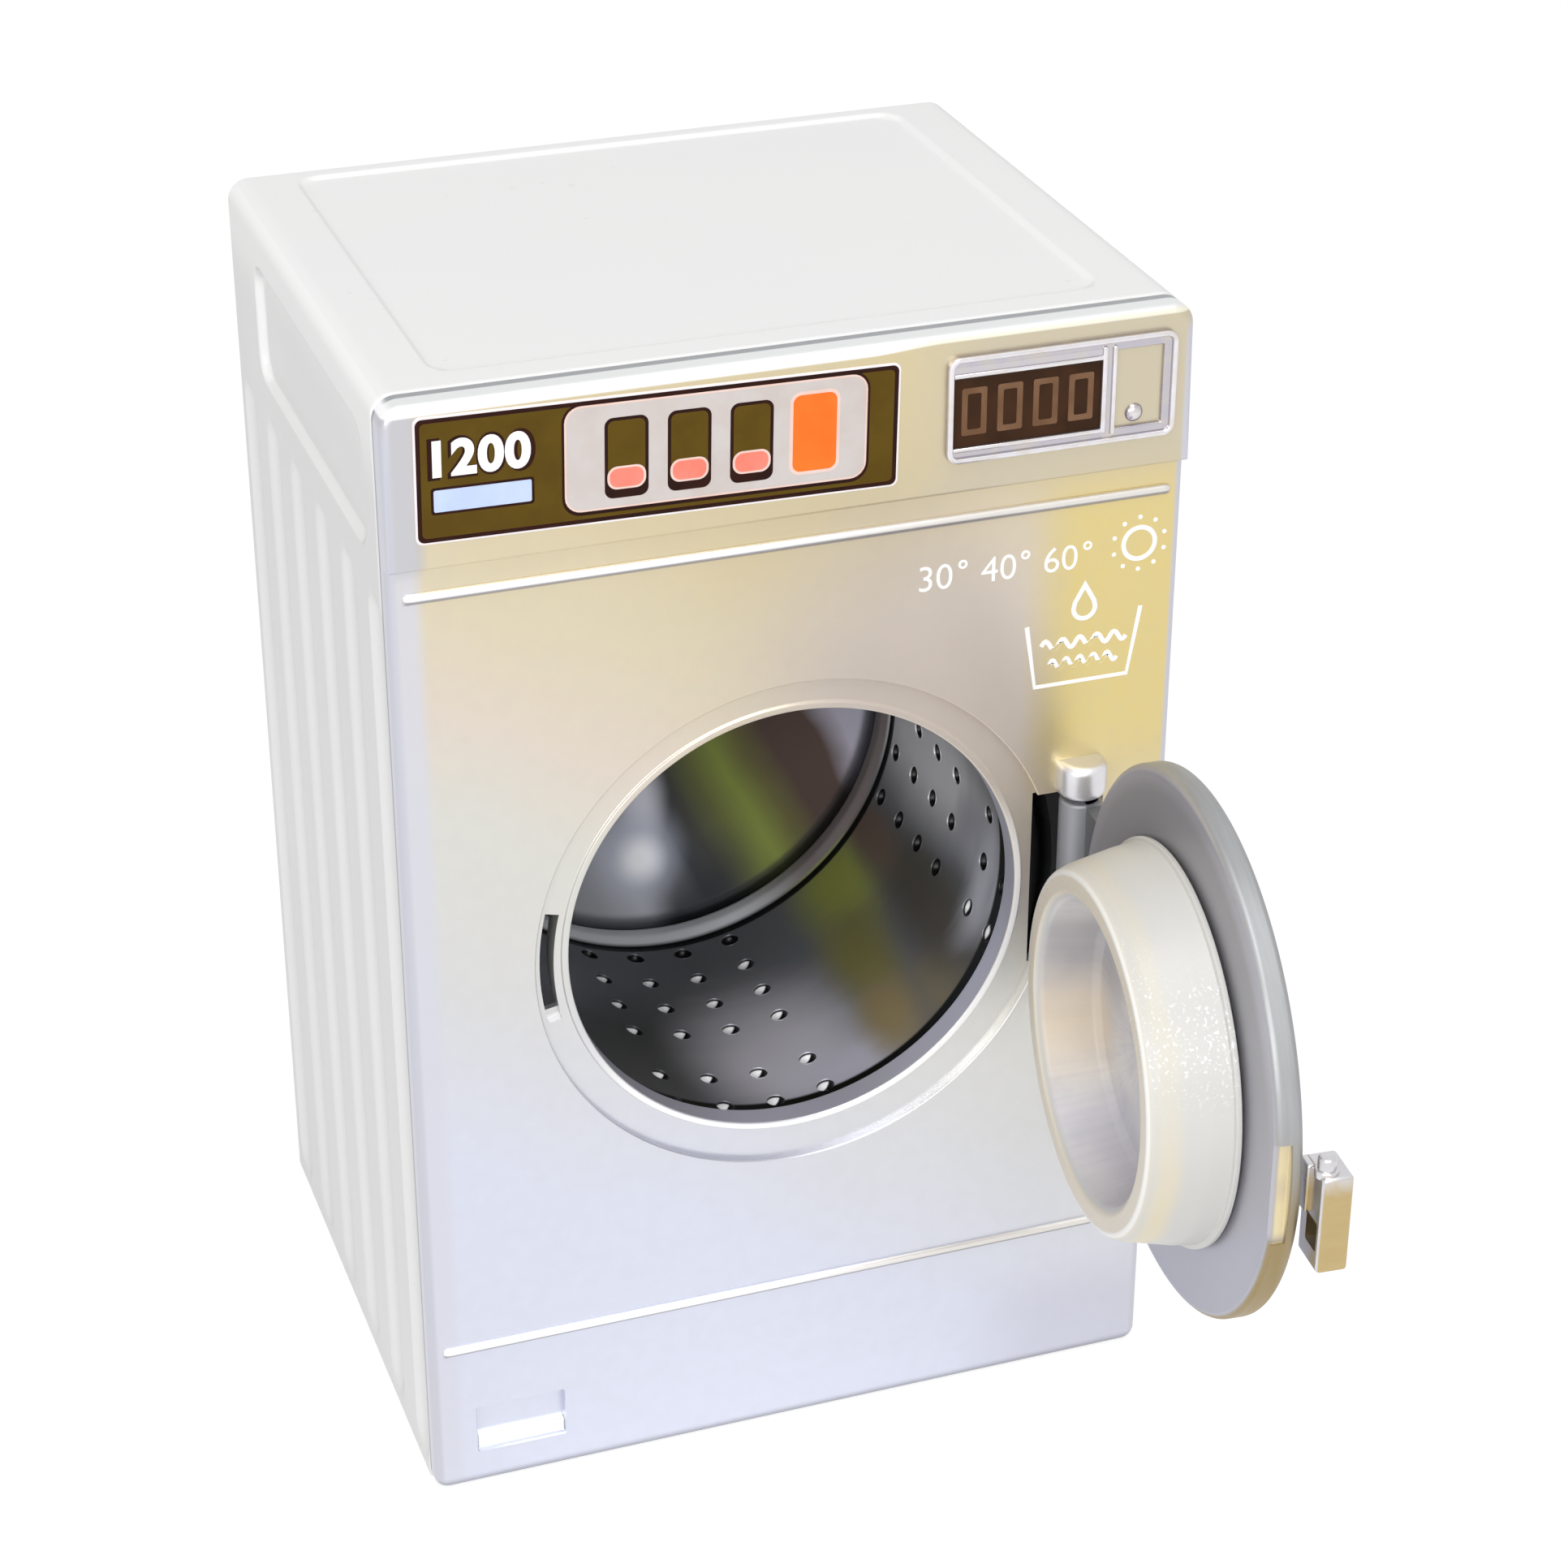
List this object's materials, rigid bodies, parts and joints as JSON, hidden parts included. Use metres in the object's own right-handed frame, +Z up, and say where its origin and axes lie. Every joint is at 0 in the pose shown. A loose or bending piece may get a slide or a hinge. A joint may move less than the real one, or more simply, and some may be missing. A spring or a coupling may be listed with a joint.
{
  "type": "dollhouse washing machine",
  "caption": "Dollhouse front-loading washing machine with a silver front, a fluted white cabinet, a hinged round door with a clear bowl and a turning perforated drum.",
  "frame": {"origin": "on the floor under the middle of the cabinet, in the plane of the cabinet's underside", "axes": "+Z up; the front with the door looks along -Y and the back along +Y; +X is to the right as seen from the front, the side the door is hinged on"},
  "size_m": [0.05, 0.0787, 0.0767],
  "materials": {
    "silver": "satin metallised",
    "white": "satin",
    "sticker": "printed film",
    "display": "printed film",
    "tub_black": "moulded",
    "steel": "plated",
    "drum_chrome": "dark chrome plated",
    "door_grey": "satin metallised",
    "clear": "frosted clear",
    "handle_silver": "chrome plated"
  },
  "bodies": {
    "cabinet": {"front_panel": "silver", "cabinet_shell": "white", "back_cover": "white", "base_plate": "white", "control_sticker": "sticker", "display_plate": "display", "tub": "tub_black", "tub_screw_1": "steel", "tub_screw_2": "steel", "tub_screw_3": "steel", "tub_screw_4": "steel", "back_screw_1": "steel", "back_screw_2": "steel", "back_screw_3": "steel", "back_screw_4": "steel", "bearing_bush": "tub_black", "hinge_pin": "steel"},
    "drum": {"drum_shell": "drum_chrome", "drum_back": "drum_chrome", "drum_spindle": "steel", "spindle_clip": "steel"},
    "door": {"door_disc": "door_grey", "door_bowl": "clear", "door_handle": "handle_silver"}
  },
  "joints": [
    {"name": "door_hinge", "type": "hinge", "parent": "cabinet", "child": "door", "pos_m": [0.0188, -0.02065, 0.038], "axis": [0, 0, 1], "range_deg": [-85.3, 24.7]},
    {"name": "drum_spin", "type": "hinge", "parent": "cabinet", "child": "drum", "pos_m": [0, 0, 0.0384], "axis": [0, 1, 0], "continuous": true}
  ]
}
